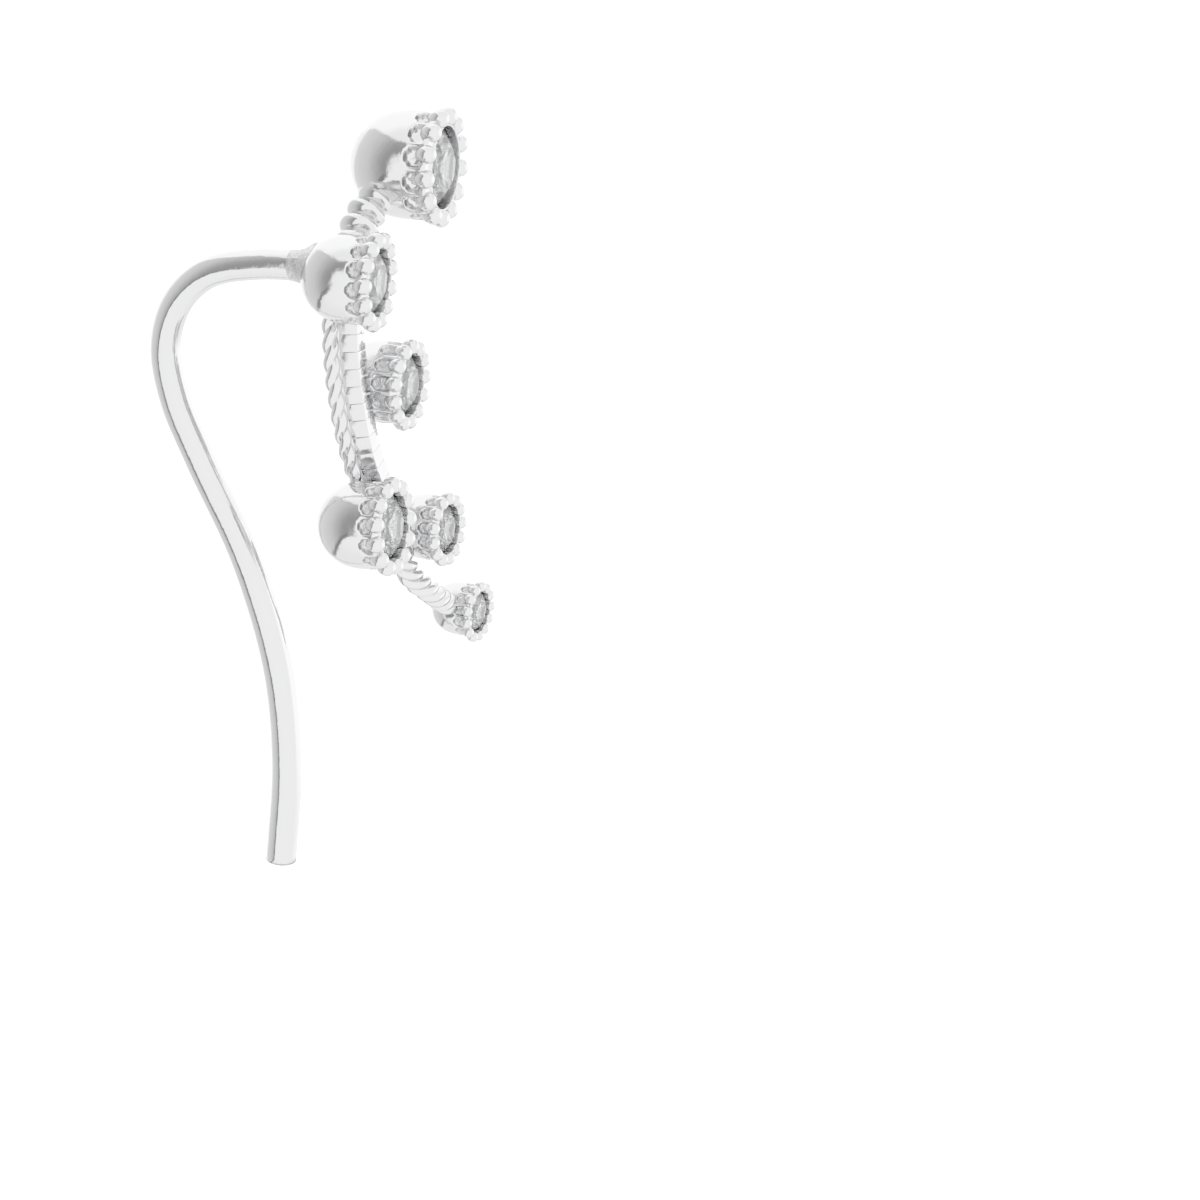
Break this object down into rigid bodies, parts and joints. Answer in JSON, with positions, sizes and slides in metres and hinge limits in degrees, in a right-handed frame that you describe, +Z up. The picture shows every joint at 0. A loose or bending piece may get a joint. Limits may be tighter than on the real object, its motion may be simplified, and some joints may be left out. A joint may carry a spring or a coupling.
{
  "type": "ear climber earring",
  "caption": "Ear climber in polished white metal: a beaded, twisted-wire stem with round bead-crowned cups holding clear brilliant-cut stones, on a long curved ear wire.",
  "frame": {"origin": "middle of the box's underside, on the surface that the climber lies on", "axes": "+Z up from the surface; +Y along the climber, from the tip of the ear wire towards the top stone; +X towards the side that the stones face"},
  "size_m": [0.0112, 0.025, 0.0073],
  "materials": {
    "polished_metal": "mirror-polished rhodium-plated white metal",
    "clear_stone": "faceted, clear and colourless"
  },
  "bodies": {
    "root": {"climber_frame": "polished_metal", "stone_1": "clear_stone", "stone_2": "clear_stone", "stone_3": "clear_stone", "stone_4": "clear_stone", "stone_5": "clear_stone", "stone_6": "clear_stone"}
  },
  "joints": []
}
